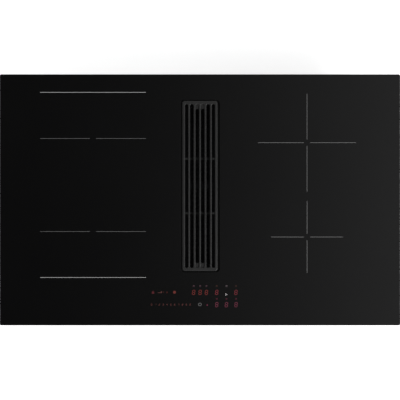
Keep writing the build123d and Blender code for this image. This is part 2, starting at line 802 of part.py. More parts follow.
# Fan motor: a round body on a flange, with the shaft that the impeller turns on
with BuildPart() as fan_motor:
    post(fan_x, fan_y, motor_flange_radius, motor_bottom, motor_body_bottom)
    post(fan_x, fan_y, motor_radius, motor_body_bottom, motor_top)
    post(fan_x, fan_y, shaft_radius, motor_top, nut_top + shaft_end)
    with Locations(*motor_screw_seats):
        Hole(screw_hole, motor_flange_thickness)
save(fan_motor, "fan_motor")

# Rubber pads between the motor's flange and the housing's floor
with BuildPart() as motor_pads:
    for x, y in motor_screw_points:
        post(x, y, motor_pad_radius, housing_floor, motor_bottom)
        post(x, y, screw_hole, housing_floor, motor_bottom, Mode.SUBTRACT)
save(motor_pads, "motor_pads")

motor_screw_length = motor_flange_thickness + motor_pad_height + motor_screw_bite
save(screws(motor_screw_seats, motor_screw_length), "motor_screws")

# Impeller: a base plate with a cup over the motor, a ring of blades and a top ring
with BuildPart() as impeller:
    post(fan_x, fan_y, impeller_radius, impeller_bottom, impeller_bottom + impeller_plate)
    post(fan_x, fan_y, motor_radius + hub_gap + hub_wall, impeller_bottom, hub_top)
    post(fan_x, fan_y, boss_radius, hub_top, boss_top)
    post(fan_x, fan_y, motor_radius + hub_gap, impeller_bottom, hub_ceiling, Mode.SUBTRACT)
    post(fan_x, fan_y, shaft_radius + shaft_clearance, hub_ceiling, boss_top, Mode.SUBTRACT)
    with BuildSketch(Plane.XY.offset(impeller_bottom)):
        with Locations((fan_x, fan_y)):
            with PolarLocations(impeller_radius - impeller_ring / 2, impeller_blades):
                radial_reach = impeller_ring - 2 * impeller_blade_thickness
                blade_reach = radial_reach / cos(radians(impeller_blade_angle))
                Rectangle(blade_reach, impeller_blade_thickness, rotation=impeller_blade_angle)
    extrude(amount=impeller_height)
    with BuildSketch(Plane.XY.offset(impeller_top - impeller_plate)):
        with Locations((fan_x, fan_y)):
            Circle(impeller_radius)
            Circle(impeller_radius - impeller_ring, mode=Mode.SUBTRACT)
    extrude(amount=impeller_plate)
save(impeller, "impeller")

# Nut that holds the impeller on its shaft
with BuildPart() as impeller_nut:
    with BuildSketch(Plane.XY.offset(boss_top)):
        with Locations((fan_x, fan_y)):
            RegularPolygon(nut_radius, 6)
            Circle(shaft_radius + shaft_clearance, mode=Mode.SUBTRACT)
    extrude(amount=nut_height)
save(impeller_nut, "impeller_nut")


def zone_outline(zone, inset):
    """Draws a zone's outline, inset from its mark on the glass: round, or a rounded rectangle."""
    with Locations((zone["x"], zone["y"])):
        if zone["corner"]:
            RectangleRounded(zone["length"] - 2 * inset, zone["width"] - 2 * inset, zone["corner"])
        else:
            Circle(zone["length"] / 2 - inset)


def zone_disc(zone, low, high, eye):
    """A disc of a zone's outline with a round eye in its middle."""
    with BuildPart() as disc:
        with BuildSketch(Plane.XY.offset(low)):
            zone_outline(zone, coil_inset)
            with Locations((zone["x"], zone["y"])):
                Circle(eye, mode=Mode.SUBTRACT)
        extrude(amount=high - low)
    return disc


def ferrite_bars_of(zone, margin):
    """The radial bars under one coil, drawn larger by margin for the pockets that hold them."""
    with Locations((zone["x"], zone["y"])):
        with PolarLocations(ferrite_start + ferrite_length / 2, ferrites_per_coil):
            Rectangle(ferrite_length + 2 * margin, ferrite_width + 2 * margin)


left_zone = {
    "x": left_zone_x,
    "length": left_zone_length,
    "width": left_zone_width,
    "corner": left_zone_corner,
}
right_zone = {"x": right_zone_x, "corner": 0}
zones = {
    "left_rear": left_zone | {"y": left_zone_y + left_zone_width / 2},
    "left_front": left_zone | {"y": left_zone_y - left_zone_width / 2},
    "right_rear": right_zone | {"y": rear_zone_y, "length": rear_zone_diameter},
    "right_front": right_zone | {"y": front_zone_y, "length": front_zone_diameter},
}

# Induction coils: for each zone a flat winding and the moulded carrier that holds it and its ferrites
for name, zone in zones.items():
    save(zone_disc(zone, carrier_top, winding_top, coil_eye), f"{name}_winding")
    coil_carrier = zone_disc(zone, plate_top, carrier_top, coil_eye - ferrite_gap)
    with BuildPart() as pocketed_carrier:
        add(coil_carrier.part)
        with BuildSketch(Plane.XY.offset(plate_top)):
            ferrite_bars_of(zone, ferrite_gap)
        extrude(amount=ferrite_thickness + ferrite_gap, mode=Mode.SUBTRACT)
    save(pocketed_carrier, f"{name}_carrier")

# Mica sheets between the windings and the glass
with BuildPart() as mica_sheets:
    with BuildSketch(Plane.XY.offset(winding_top)):
        for zone in zones.values():
            zone_outline(zone, coil_inset)
    extrude(amount=mica_thickness)
save(mica_sheets, "mica_sheets")

# Ferrite bars in the carriers' pockets
with BuildPart() as ferrite_bars:
    with BuildSketch(Plane.XY.offset(plate_top)):
        for zone in zones.values():
            ferrite_bars_of(zone, 0)
    extrude(amount=ferrite_thickness)
save(ferrite_bars, "ferrite_bars")

# Temperature sensors in the coils' eyes, pressed against the mica
with BuildPart() as temperature_sensors:
    for zone in zones.values():
        post(zone["x"], zone["y"], sensor_radius, plate_top, winding_top)
save(temperature_sensors, "temperature_sensors")

# Aluminium plates that carry the coils, one on each side
for side, name in ((-1, "left_coil_plate"), (1, "right_coil_plate")):
    with BuildPart() as coil_plate:
        slab(side * plate_x, 0, plate_length, plate_width, plate_corner, plate_bottom, plate_top)
        with Locations(*[(x, y, plate_top) for x, y in plate_posts[side]]):
            Hole(screw_hole, plate_thickness)
    save(coil_plate, name)

with BuildPart() as plate_pillars:
    for x, y in plate_screw_points:
        with BuildSketch(Plane.XY.offset(tray_floor)):
            with Locations((x, y)):
                RegularPolygon(post_radius, 6)
        extrude(amount=plate_bottom - tray_floor)
        post(x, y, screw_hole, plate_bottom - machine_screw_length, plate_bottom, Mode.SUBTRACT)
save(plate_pillars, "plate_pillars")

# Power electronics: on each side a board on spacers, with a finned heat sink and its tall components
with BuildPart() as board_spacers:
    for side in (-1, 1):
        spacer_span_x = board_length - 2 * spacer_inset
        spacer_span_y = board_width - 2 * spacer_inset
        for x, y in corners(side * board_x, board_y, spacer_span_x, spacer_span_y):
            post(x, y, spacer_radius, tray_floor, board_bottom)
save(board_spacers, "board_spacers")

for side, name in ((-1, "left"), (1, "right")):
    with BuildPart() as power_board:
        slab(side * board_x, board_y, board_length, board_width, board_corner, board_bottom, board_top)
    save(power_board, f"{name}_power_board")

    with BuildPart() as heat_sink:
        sink_y = board_y + heat_sink_offset
        slab(side * board_x, sink_y, heat_sink_length, heat_sink_width, 0,
             board_top, board_top + heat_sink_base)
        fin_pitch = (heat_sink_width - heat_sink_fin) / (heat_sink_fins - 1)
        for fin in range(heat_sink_fins):
            slab(side * board_x, sink_y + (fin - (heat_sink_fins - 1) / 2) * fin_pitch, heat_sink_length,
                 heat_sink_fin, 0, board_top, board_top + heat_sink_height)
    save(heat_sink, f"{name}_heat_sink")

    with BuildPart() as components:
        for step in (-1, 0, 1):
            post(side * board_x + step * capacitor_spacing, board_y + component_row_offset, capacitor_radius,
                 board_top, board_top + capacitor_height)
        post(side * (board_x + choke_offset), board_y + relay_row_offset, choke_radius,
             board_top, board_top + choke_height)
        for relay in range(3):
            slab(side * (board_x - relay * relay_spacing), board_y + relay_row_offset,
                 relay_size, relay_size, 0, board_top, board_top + relay_height)
    save(components, f"{name}_board_components")

# Cooling fans: on each side a square frame over the floor's vents, and the rotor that turns in it
cooler_boss_top = tray_floor + cooler_boss_height
rotor_bottom = cooler_boss_top + cooler_rotor_gap
rotor_top = rotor_bottom + cooler_rotor_height
blade_length = cooler_rotor_radius - cooler_blade_root
for side, name in ((-1, "left"), (1, "right")):
    with BuildPart() as fan_frame:
        slab(side * cooler_x, cooler_y, cooler_size, cooler_size, cooler_corner,
             tray_floor, tray_floor + cooler_height)
        post(side * cooler_x, cooler_y, cooler_bore, tray_floor, tray_floor + cooler_height, Mode.SUBTRACT)
        with BuildSketch(Plane.XY.offset(tray_floor)):
            with Locations((side * cooler_x, cooler_y)):
                for arm in range(cooler_arms):
                    Rectangle(cooler_size, cooler_arm, rotation=180 / cooler_arms * arm)
        extrude(amount=cooler_arm_height)
        post(side * cooler_x, cooler_y, cooler_boss_radius, tray_floor, cooler_boss_top)
        post(side * cooler_x, cooler_y, cooler_pin_radius, tray_floor, rotor_top)
    save(fan_frame, f"{name}_fan_frame")

    with BuildPart() as fan_rotor:
        post(side * cooler_x, cooler_y, cooler_hub_radius, rotor_bottom, rotor_top)
        for blade in range(cooler_blades):
            hub_plane = Plane((side * cooler_x, cooler_y, (rotor_bottom + rotor_top) / 2))
            blade_plane = hub_plane.rotated((0, 0, 360 / cooler_blades * blade))
            with Locations(blade_plane):
                with Locations(((cooler_rotor_radius + cooler_blade_root) / 2, 0, 0)):
                    Box(blade_length, cooler_rotor_height, cooler_blade, rotation=(cooler_blade_pitch, 0, 0))
        post(side * cooler_x, cooler_y, cooler_pin_radius + shaft_clearance, rotor_bottom, rotor_top,
             Mode.SUBTRACT)
    save(fan_rotor, f"{name}_fan_rotor")

# Touch control: a light mask with windows, the board under it, its key springs and the bridge below
slider_keys_x = [slider_first_x + slider_pitch * key for key in range(slider_keys)]
front_keys = [(x, digits_front_y) for x in slider_keys_x + power_keys_x]
rear_keys = [(x, digits_rear_y) for x in lock_keys_x]
touch_keys = front_keys + rear_keys
rear_digits = [(x, digits_rear_y) for x in digits_rear_x]
front_digits = [(x, digits_front_y) for x in digits_front_x]
digit_windows = rear_digits + front_digits
with BuildPart() as display_mask:
    slab(panel_x, panel_y, panel_length, panel_width, panel_corner, mask_bottom, glass_bottom)
    with BuildSketch(Plane.XY.offset(mask_bottom)):
        with Locations(*touch_keys):
            Circle(touch_key_radius)
        with Locations(*digit_windows):
            Rectangle(digit_window_width, digit_window_height)
    extrude(amount=mask_height, mode=Mode.SUBTRACT)
save(display_mask, "display_mask")

with BuildPart() as touch_springs:
    with BuildSketch(Plane.XY.offset(mask_bottom)):
        with Locations(*touch_keys):
            Circle(touch_key_radius - touch_spring_gap)
    extrude(amount=mask_height)
save(touch_springs, "touch_springs")

with BuildPart() as touch_board:
    slab(panel_x, panel_y, panel_length, panel_width, panel_corner, touch_board_bottom, mask_bottom)
save(touch_board, "touch_board")

with BuildPart() as control_bridge:
    slab(panel_x, panel_y, panel_length, panel_width, 0,
         touch_board_bottom - bracket_sheet, touch_board_bottom)
    for side in (-1, 1):
        leg_x = panel_x + side * (panel_length - bracket_sheet) / 2
        foot_x = panel_x + side * (panel_length - bracket_foot) / 2
        slab(leg_x, panel_y, bracket_sheet, panel_width, 0, tray_floor, touch_board_bottom)
        slab(foot_x, panel_y, bracket_foot, panel_width, 0, tray_floor, tray_floor + bracket_sheet)
save(control_bridge, "control_bridge")

# Mains connection: a box under the tray with its terminal block, screwed cover, cable gland and grommet
with BuildPart() as terminal_box:
    slab(terminal_x, terminal_y, terminal_length, terminal_width, terminal_corner,
         terminal_bottom, tray_bottom)
    slab(terminal_x, terminal_y, terminal_length - 2 * terminal_wall, terminal_width - 2 * terminal_wall,
         terminal_corner - terminal_wall, terminal_bottom, tray_bottom - terminal_wall, Mode.SUBTRACT)
    post(terminal_x, terminal_y + grommet_y_offset, grommet_radius, tray_bottom - terminal_wall, tray_bottom,
         Mode.SUBTRACT)
    gland_z = tray_bottom - terminal_height / 2
    gland_seat = Plane(origin=(terminal_left, terminal_y + gland_y_offset, gland_z), z_dir=(-1, 0, 0))
    with Locations(gland_seat):
        Hole(gland_radius + screw_clearance, terminal_wall)
    for x, y in terminal_screw_points:
        post(x, y, terminal_boss_radius, terminal_bottom, tray_bottom - terminal_wall)
        post(x, y, screw_hole, terminal_bottom, terminal_bottom + machine_screw_length, Mode.SUBTRACT)
save(terminal_box, "terminal_box")

with BuildPart() as terminal_cover:
    slab(terminal_x, terminal_y, terminal_length, terminal_width, terminal_corner,
         terminal_bottom - terminal_wall, terminal_bottom)
    for x, y in terminal_screw_points:
        post(x, y, screw_hole, terminal_bottom - terminal_wall, terminal_bottom, Mode.SUBTRACT)
save(terminal_cover, "terminal_cover")

# The short machine screws of the coil plates, the scroll cover and the terminal cover
machine_screw_seats = plate_screw_seats + cover_screw_seats + terminal_screw_seats
save(screws(machine_screw_seats, machine_screw_length), "machine_screws")

with BuildPart() as terminal_block:
    block_top = tray_bottom - terminal_wall
    block_y = terminal_y + terminal_block_y_offset
    slab(terminal_x, block_y, terminal_block_length, terminal_block_width, 0,
         block_top - terminal_block_height, block_top)
    with BuildSketch(Plane.XY.offset(block_top - terminal_block_height)):
        with Locations((terminal_x, block_y)):
            with GridLocations(terminal_block_length / terminal_ways, 0, terminal_ways, 1):
                Circle(terminal_well_radius)
    extrude(amount=terminal_block_height / 2, mode=Mode.SUBTRACT)
save(terminal_block, "terminal_block")

with BuildPart() as cable_gland:
    with BuildSketch(gland_seat):
        RegularPolygon(gland_nut_radius, 6)
    extrude(amount=gland_nut_length)
    with BuildSketch(gland_seat):
        Circle(gland_radius)
    extrude(amount=-(terminal_wall + gland_inner_length))
    with BuildSketch(gland_seat.offset(gland_nut_length)):
        Circle(gland_bore)
    extrude(amount=-(gland_nut_length + terminal_wall + gland_inner_length), mode=Mode.SUBTRACT)
save(cable_gland, "cable_gland")

with BuildPart() as floor_grommet:
    grommet_y = terminal_y + grommet_y_offset
    post(terminal_x, grommet_y, grommet_radius, tray_bottom - terminal_wall, tray_floor)
    post(terminal_x, grommet_y, grommet_radius + grommet_lip, tray_floor, tray_floor + grommet_lip)
    post(terminal_x, grommet_y, grommet_bore, tray_bottom - terminal_wall, tray_floor + grommet_lip,
         Mode.SUBTRACT)
save(floor_grommet, "floor_grommet")

# Wiring loom: the mains lead to the left board, and the lead that links the two boards in front of the shaft
mains_z = tray_floor + loom_rise
mains_board_y = board_y + board_width / 2 - loom_inset
mains_lead = [
    (terminal_x, block_y - terminal_block_width / 2, block_top - terminal_block_height / 2),
    (terminal_x, grommet_y, block_top - terminal_block_height / 2),
    (terminal_x, grommet_y, mains_z),
    (terminal_x, mains_board_y, mains_z),
    (terminal_x, mains_board_y, board_top),
]
link_x = board_x - board_length / 2 + loom_inset
link_rear_y = board_y - board_width / 2 + loom_inset
link_front_y = shaft_y - liner_flange_length / 2 - loom_front_gap
board_link = [
    (-link_x, link_rear_y, board_top),
    (-link_x, link_rear_y, mains_z),
    (-link_x, link_front_y, mains_z),
    (link_x, link_front_y, mains_z),
    (link_x, link_rear_y, mains_z),
    (link_x, link_rear_y, board_top),
]
with BuildPart() as wiring_loom:
    for route in (mains_lead, board_link):
        with BuildLine() as lead:
            FilletPolyline(*route, radius=loom_bend)
        with BuildSketch(Plane(origin=lead.line @ 0, z_dir=lead.line % 0)):
            Circle(loom_radius)
        sweep(path=lead.line)
save(wiring_loom, "wiring_loom")
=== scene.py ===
import bpy
import numpy as np
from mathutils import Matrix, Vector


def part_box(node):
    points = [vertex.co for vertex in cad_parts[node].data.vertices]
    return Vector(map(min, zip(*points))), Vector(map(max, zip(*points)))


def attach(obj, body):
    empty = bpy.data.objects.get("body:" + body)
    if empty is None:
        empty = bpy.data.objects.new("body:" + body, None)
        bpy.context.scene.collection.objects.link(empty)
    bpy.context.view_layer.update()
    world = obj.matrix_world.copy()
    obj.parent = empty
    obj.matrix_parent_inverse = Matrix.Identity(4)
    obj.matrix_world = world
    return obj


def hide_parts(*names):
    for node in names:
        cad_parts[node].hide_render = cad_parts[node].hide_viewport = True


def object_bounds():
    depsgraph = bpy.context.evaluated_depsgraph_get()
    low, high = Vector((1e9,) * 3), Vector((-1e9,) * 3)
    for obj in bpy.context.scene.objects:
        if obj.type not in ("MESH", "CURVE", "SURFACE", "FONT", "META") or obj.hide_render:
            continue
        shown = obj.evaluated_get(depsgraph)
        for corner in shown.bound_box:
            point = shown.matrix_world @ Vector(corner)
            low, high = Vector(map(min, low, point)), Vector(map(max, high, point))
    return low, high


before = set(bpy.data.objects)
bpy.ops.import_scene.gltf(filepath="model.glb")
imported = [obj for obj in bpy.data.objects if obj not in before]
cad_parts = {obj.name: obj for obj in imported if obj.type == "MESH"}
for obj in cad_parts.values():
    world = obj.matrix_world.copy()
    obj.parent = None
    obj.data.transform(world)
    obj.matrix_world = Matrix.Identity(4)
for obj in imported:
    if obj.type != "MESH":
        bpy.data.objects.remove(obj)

cad_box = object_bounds()


# --- Base tray -------------------------------------------------------------------------------------------
# The tray under the glass is folded from hot-dip galvanised sheet, so it has the spangle of zinc crystals.
# Its vents are punched before it is folded, and its corners are closed and ground smooth.


class Finish:
    """A procedural material: a Principled shader fed by patterns on the piece's own coordinates."""

    def __init__(self, name, roughness, metal=0.0):
        self.material = bpy.data.materials.new(name)
        self.material.use_nodes = True
        self.tree = self.material.node_tree
        self.shader = self.tree.nodes["Principled BSDF"]
        self.shader.inputs["Roughness"].default_value = roughness
        self.shader.inputs["Metallic"].default_value = metal
        self.place = self.tree.nodes.new("ShaderNodeTexCoord").outputs["Object"]

    def node(self, kind, inputs, **settings):
        """Adds a shader node with its settings: an input is linked if it is given a socket, or else set."""
        made = self.tree.nodes.new("ShaderNode" + kind)
        for key, value in settings.items():
            setattr(made, key, value)
        for key, value in inputs.items():
            if isinstance(value, bpy.types.NodeSocket):
                self.tree.links.new(value, made.inputs[key])
            else:
                made.inputs[key].default_value = value
        return made

    def about(self, centre):
        """The coordinates measured from a centre."""
        return self.node("Mapping", {"Vector": self.place, "Location": [-c for c in centre]}).outputs[0]

    def grain(self, size, detail=3.0, along=(1, 1, 1)):
        """Noise from 0 to 1 with lumps of that size in metres, longer along an axis of small factor."""
        squeezed = self.node("Mapping", {"Vector": self.place, "Scale": along}).outputs[0]
        return self.node("TexNoise", {"Vector": squeezed, "Scale": 1 / size, "Detail": detail}).outputs[0]

    def crystals(self, size):
        """A random level from 0 to 1 for each irregular cell of that size."""
        cells = self.node("TexVoronoi", {"Vector": self.place, "Scale": 1 / size})
        return self.node("SeparateColor", {"Color": cells.outputs["Color"]}).outputs[0]

    def stripes(self, pitch, across="X", centre=(0, 0, 0), rings=False):
        """Bands from 0 to 1 across an axis, or rings round Z about a centre, one band to each pitch."""
        if rings:
            pattern = {"wave_type": "RINGS", "rings_direction": "Z"}
        else:
            pattern = {"wave_type": "BANDS", "bands_direction": across}
        scale = 2 * np.pi / (20 * pitch)
        return self.node("TexWave", {"Vector": self.about(centre), "Scale": scale}, **pattern).outputs[1]

    def mixed(self, first, second, share):
        """Two levels mixed: first where share is 0, second where it is 1."""
        return self.node("Mix", {0: share, 2: first, 3: second}).outputs[0]

    def height(self, low, high):
        """0 below the low level, 1 above the high one, and even between."""
        z = self.node("SeparateXYZ", {"Vector": self.place}).outputs["Z"]
        return self.node("MapRange", {"Value": z, "From Min": low, "From Max": high}).outputs[0]

    def colour(self, level, *stops):
        """The base colour runs through the stops, each a level and a linear red, green and blue."""
        ramp = self.node("ValToRGB", {"Fac": level})
        elements = ramp.color_ramp.elements
        elements[0].position, elements[0].color = stops[0][0], (*stops[0][1], 1)
        elements[1].position, elements[1].color = stops[-1][0], (*stops[-1][1], 1)
        for position, rgb in stops[1:-1]:
            elements.new(position).color = (*rgb, 1)
        self.tree.links.new(ramp.outputs[0], self.shader.inputs["Base Color"])

    def sheen(self, level, low, high):
        """The roughness runs from low to high with the level."""
        spread = self.node("MapRange", {"Value": level, "To Min": low, "To Max": high})
        self.tree.links.new(spread.outputs[0], self.shader.inputs["Roughness"])

    def relief(self, level, depth, edge=0.0):
        """The level stands out by depth in metres, and sharp edges catch the light over a round of edge."""
        bump = self.node("Bump", {"Height": level, "Distance": depth})
        if edge:
            rounded = self.node("Bevel", {"Radius": edge}, samples=4)
            self.tree.links.new(rounded.outputs[0], bump.inputs["Normal"])
        self.tree.links.new(bump.outputs[0], self.shader.inputs["Normal"])


def dress(finish, *names):
    """Gives a finish to pieces that keep the shape they have in the model."""
    for name in names:
        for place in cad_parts[name].material_slots:
            place.material = finish.material


galvanised = Finish("galvanised_sheet", roughness=0.42, metal=0.8)
spangle = galvanised.mixed(galvanised.crystals(size=0.009), galvanised.grain(size=0.003), share=0.35)
galvanised.colour(spangle, (0.1, (0.40, 0.41, 0.42)), (0.5, (0.50, 0.51, 0.52)), (0.9, (0.60, 0.61, 0.62)))
galvanised.sheen(spangle, low=0.32, high=0.55)
galvanised.relief(spangle, depth=0.00003, edge=0.0006)
dress(galvanised, "base_tray")


# --- Mains box -------------------------------------------------------------------------------------------
# The terminal box, its screwed cover and the terminal block are moulded in pale grey flame-proof plastic.
# The box hangs under the tray's floor at the back left, where the mains cable comes in through its gland.

terminal_grey = Finish("flame_proof_plastic", roughness=0.5)
mould_flow, mould_grain = terminal_grey.grain(size=0.03), terminal_grey.grain(size=0.0007)
mould_skin = terminal_grey.mixed(mould_flow, mould_grain, share=0.4)
terminal_grey.colour(mould_skin, (0.3, (0.54, 0.54, 0.52)), (0.7, (0.64, 0.64, 0.62)))
terminal_grey.relief(terminal_grey.grain(size=0.0007), depth=0.00005, edge=0.0008)
dress(terminal_grey, "terminal_box", "terminal_cover", "terminal_block")


# --- Shaft liner -----------------------------------------------------------------------------------------
# The stepped liner of the extractor's shaft is moulded in black polyphenylene sulphide, which stands the
# heat of the coils. It has a low even gloss, and its flange lies against the glass on a foam seal.

shaft_black = Finish("shaft_black", roughness=0.45)
shaft_black.shader.inputs["Specular IOR Level"].default_value = 0.15
shaft_grain = shaft_black.grain(size=0.0006, detail=4.0)
shaft_black.colour(shaft_grain, (0.3, (0.0026, 0.0026, 0.0027)), (0.7, (0.0050, 0.0050, 0.0051)))
shaft_black.sheen(shaft_black.grain(size=0.015), low=0.38, high=0.52)
shaft_black.relief(shaft_grain, depth=0.00003, edge=0.0004)
dress(shaft_black, "shaft_liner")


# --- Air housing and fan ---------------------------------------------------------------------------------
# The housing, scroll, cover, duct spigot and drip container are moulded in charcoal polypropylene with a
# fine spark-eroded grain and faint flow marks, and so is the impeller. The motor's case is die-cast.

polypropylene = Finish("charcoal_polypropylene", roughness=0.5)
wide_flow, fine_flow = polypropylene.grain(size=0.05), polypropylene.grain(size=0.0006)
flow_marks = polypropylene.mixed(wide_flow, fine_flow, share=0.4)
polypropylene.colour(flow_marks, (0.3, (0.026, 0.027, 0.029)), (0.7, (0.044, 0.045, 0.048)))
polypropylene.sheen(flow_marks, low=0.40, high=0.62)
polypropylene.relief(polypropylene.grain(size=0.0007), depth=0.00005, edge=0.0008)
dress(
    polypropylene, "air_housing", "fan_scroll", "scroll_cover", "outlet_spigot", "drip_container",
    "impeller",
)

die_cast = Finish("die_cast_motor", roughness=0.45, metal=0.9)
skin = die_cast.grain(size=0.0012, detail=4.0)
die_cast.colour(skin, (0.3, (0.30, 0.31, 0.33)), (0.7, (0.42, 0.43, 0.45)))
die_cast.relief(skin, depth=0.00006, edge=0.0008)
dress(die_cast, "fan_motor")


# --- Black mouldings -------------------------------------------------------------------------------------
# The spacers, fan frames, rotors, display mask and cable gland are moulded in black glass-filled nylon. The
# mould is spark-eroded, so the surface is evenly fine and a little paler where the fibres lie near it.

black_nylon = Finish("black_nylon", roughness=0.5)
fibres = black_nylon.grain(size=0.00035, detail=4.0)
black_nylon.colour(fibres, (0.25, (0.014, 0.014, 0.015)), (0.75, (0.028, 0.028, 0.030)))
black_nylon.sheen(black_nylon.grain(size=0.012), low=0.42, high=0.58)
black_nylon.relief(fibres, depth=0.00003, edge=0.0005)
dress(
    black_nylon, "board_spacers", "left_fan_frame", "right_fan_frame", "left_fan_rotor", "right_fan_rotor",
    "display_mask", "cable_gland",
)


# --- Power boards ----------------------------------------------------------------------------------------
# Two glass-fibre boards under a green solder mask that shows the copper tracks below it. On each stand an
# extruded aluminium heat sink, capacitors in dark sleeves with bare tops, a wound choke and three relays.

board_green = Finish("solder_mask", roughness=0.28)
long_tracks = board_green.stripes(pitch=0.0026, across="X")
cross_tracks = board_green.stripes(pitch=0.0071, across="Y")
tracks = board_green.mixed(long_tracks, cross_tracks, share=0.5)
board_green.colour(
    tracks, (0.0, (0.008, 0.075, 0.030)), (0.62, (0.010, 0.095, 0.038)), (0.72, (0.022, 0.17, 0.070))
)
board_green.relief(tracks, depth=0.00004)
dress(board_green, "left_power_board", "right_power_board", "touch_board")

extruded = Finish("extruded_aluminium", roughness=0.38, metal=1.0)
die_lines = extruded.grain(size=0.0004, along=(0.02, 1, 1))
extruded.colour(die_lines, (0.3, (0.60, 0.61, 0.62)), (0.7, (0.74, 0.75, 0.76)))
extruded.sheen(die_lines, low=0.30, high=0.46)
extruded.relief(die_lines, depth=0.00002, edge=0.0004)
dress(extruded, "left_heat_sink", "right_heat_sink")

sleeve_end, sleeve_blend = 0.0006, 0.0002
for side in ("left", "right"):
    sleeves = Finish(f"{side}_sleeves", roughness=0.34)
    can_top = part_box(f"{side}_board_components")[1].z
    bare = sleeves.height(can_top - sleeve_end, can_top - sleeve_blend)
    sleeves.colour(bare, (0.0, (0.022, 0.026, 0.036)), (1.0, (0.42, 0.42, 0.43)))
    sleeves.relief(sleeves.grain(size=0.002), depth=0.00005, edge=0.001)
    dress(sleeves, f"{side}_board_components")


# --- Induction coils -------------------------------------------------------------------------------------
# Each coil is a flat spiral of enamelled copper strand on a pale heat-proof carrier, with sintered ferrite
# bars in its underside, a ceramic sensor in its eye and a sheet of pressed mica over it.

for zone in ("left_rear", "left_front", "right_rear", "right_front"):
    low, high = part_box(f"{zone}_winding")
    strand = Finish(f"{zone}_strand", roughness=0.32, metal=0.85)
    turns = strand.stripes(pitch=0.0034, centre=(low + high) / 2, rings=True)
    twist = strand.mixed(turns, strand.grain(size=0.0008), share=0.3)
    strand.colour(twist, (0.1, (0.20, 0.075, 0.030)), (0.6, (0.62, 0.30, 0.15)), (0.9, (0.78, 0.43, 0.25)))
    strand.relief(twist, depth=0.0004)
    dress(strand, f"{zone}_winding")

carrier = Finish("coil_carrier", roughness=0.6)
flow = carrier.grain(size=0.02)
carrier.colour(flow, (0.3, (0.66, 0.65, 0.60)), (0.7, (0.76, 0.75, 0.71)))
carrier.relief(carrier.grain(size=0.0006), depth=0.00004, edge=0.0005)
dress(carrier, "left_rear_carrier", "left_front_carrier", "right_rear_carrier", "right_front_carrier")

mica = Finish("pressed_mica", roughness=0.36)
flakes = mica.mixed(mica.crystals(size=0.004), mica.grain(size=0.02), share=0.5)
mica.colour(flakes, (0.2, (0.46, 0.40, 0.28)), (0.8, (0.70, 0.65, 0.53)))
mica.sheen(flakes, low=0.22, high=0.5)
mica.relief(flakes, depth=0.00002)
dress(mica, "mica_sheets")

sintered = Finish("sintered_ferrite", roughness=0.55)
pores = sintered.grain(size=0.0007, detail=5.0)
sintered.colour(pores, (0.3, (0.040, 0.040, 0.043)), (0.7, (0.085, 0.084, 0.086)))
sintered.relief(pores, depth=0.00006, edge=0.0005)
dress(sintered, "ferrite_bars")

glazed = Finish("glazed_ceramic", roughness=0.15)
glazed.colour(glazed.grain(size=0.003), (0.3, (0.74, 0.73, 0.69)), (0.7, (0.82, 0.81, 0.78)))
glazed.relief(glazed.grain(size=0.0015), depth=0.00003, edge=0.0006)
dress(glazed, "temperature_sensors")


# --- Sheet parts and screws ------------------------------------------------------------------------------
# The coil plates and the frame under the glass are rolled aluminium. Brackets, bridge, springs, pillars and
# screws are zinc-plated steel, bright with a faint straw and blue cast from the passivation.

rolled = Finish("rolled_aluminium", roughness=0.4, metal=1.0)
roll_lines = rolled.grain(size=0.0005, along=(1, 0.02, 1))
rolled.colour(roll_lines, (0.3, (0.62, 0.63, 0.64)), (0.7, (0.74, 0.75, 0.76)))
rolled.sheen(roll_lines, low=0.33, high=0.48)
rolled.relief(roll_lines, depth=0.00001, edge=0.0004)
dress(rolled, "left_coil_plate", "right_coil_plate", "glass_frame")

zinc = Finish("zinc_plating", roughness=0.32, metal=1.0)
passivation = zinc.grain(size=0.008)
zinc.colour(passivation, (0.3, (0.60, 0.59, 0.53)), (0.5, (0.63, 0.63, 0.62)), (0.7, (0.57, 0.60, 0.66)))
zinc.sheen(zinc.grain(size=0.0015), low=0.24, high=0.42)
zinc.relief(zinc.grain(size=0.0008), depth=0.00002, edge=0.0003)
dress(
    zinc, "tray_screws", "hold_down_brackets", "hold_down_screws", "housing_screws", "motor_screws",
    "machine_screws", "impeller_nut", "plate_pillars", "touch_springs", "control_bridge",
)


# --- Wiring and rubber -----------------------------------------------------------------------------------
# The loom is sheathed in soft matt rubber, and the grommet and the motor's pads are moulded rubber with a
# faint bloom. The seals under the glass are closed-cell foam.

rubber = Finish("matt_rubber", roughness=0.75)
bloom = rubber.grain(size=0.006)
rubber.colour(bloom, (0.3, (0.016, 0.016, 0.016)), (0.7, (0.036, 0.036, 0.037)))
rubber.relief(rubber.grain(size=0.0008), depth=0.00004, edge=0.0005)
dress(rubber, "wiring_loom", "floor_grommet", "motor_pads")

foam = Finish("closed_cell_foam", roughness=0.9)
cells = foam.mixed(foam.crystals(size=0.0009), foam.grain(size=0.0006), share=0.4)
foam.colour(cells, (0.2, (0.012, 0.012, 0.012)), (0.8, (0.034, 0.034, 0.035)))
foam.relief(cells, depth=0.0002)
dress(foam, "worktop_seal", "liner_seal")


# --- Glass top -------------------------------------------------------------------------------------------
# One sheet of black ceramic glass with a rounded slot for the grille. Its faces and the slot's rim are
# polished, and its outer rim is ground and left a shade duller. It is bonded to the frame below it.

glass_corner = 0.004
slot_corner = 0.007
slot_length, slot_width = 0.082, 0.357
slot_y = 0.0287
rim_round = 0.0005
slot_round = 0.0001


def outline(length, width, corner, count=14):
    """Points round a rounded rectangle: each corner turns about a centre one radius inside it."""
    turn = np.linspace(0, np.pi / 2, count)[None, :] + np.arange(4)[:, None] * np.pi / 2
    sides = np.array([(1, 1), (-1, 1), (-1, -1), (1, -1)])
    centres = sides * (np.array([length, width]) / 2 - corner)
    around = corner * np.stack([np.cos(turn), np.sin(turn)], axis=2)
    return (centres[:, None, :] + around).reshape(-1, 2)


